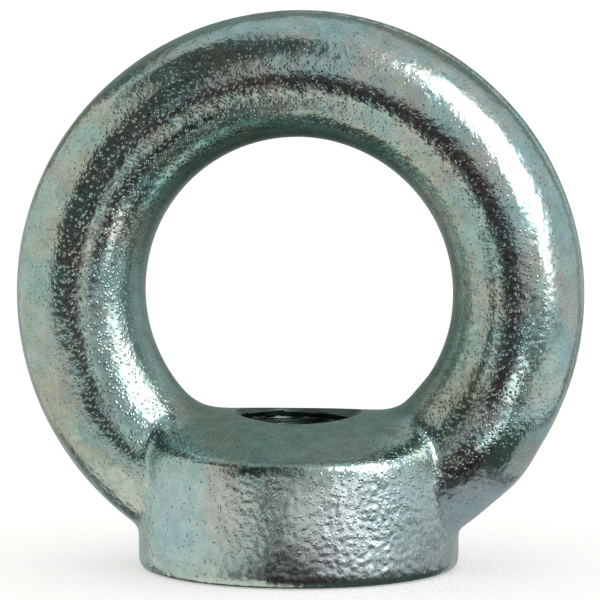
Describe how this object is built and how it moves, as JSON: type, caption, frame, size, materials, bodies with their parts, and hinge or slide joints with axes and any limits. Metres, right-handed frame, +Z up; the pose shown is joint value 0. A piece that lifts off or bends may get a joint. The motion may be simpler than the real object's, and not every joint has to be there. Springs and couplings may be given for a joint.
{
  "type": "lifting eye nut",
  "caption": "Forged lifting eye: a round-section ring on a short round boss with a tapped through hole and a flat underside.",
  "frame": {"origin": "centre of the boss's flat underside, on the thread axis", "axes": "+Z up the thread axis to the crest of the ring, +X across the ring in its own plane, +Y through the eye"},
  "size_m": [0.0541, 0.0306, 0.0531],
  "materials": {
    "zinc_plated_steel": "satin"
  },
  "bodies": {
    "root": {"eye_nut": "zinc_plated_steel"}
  },
  "joints": []
}
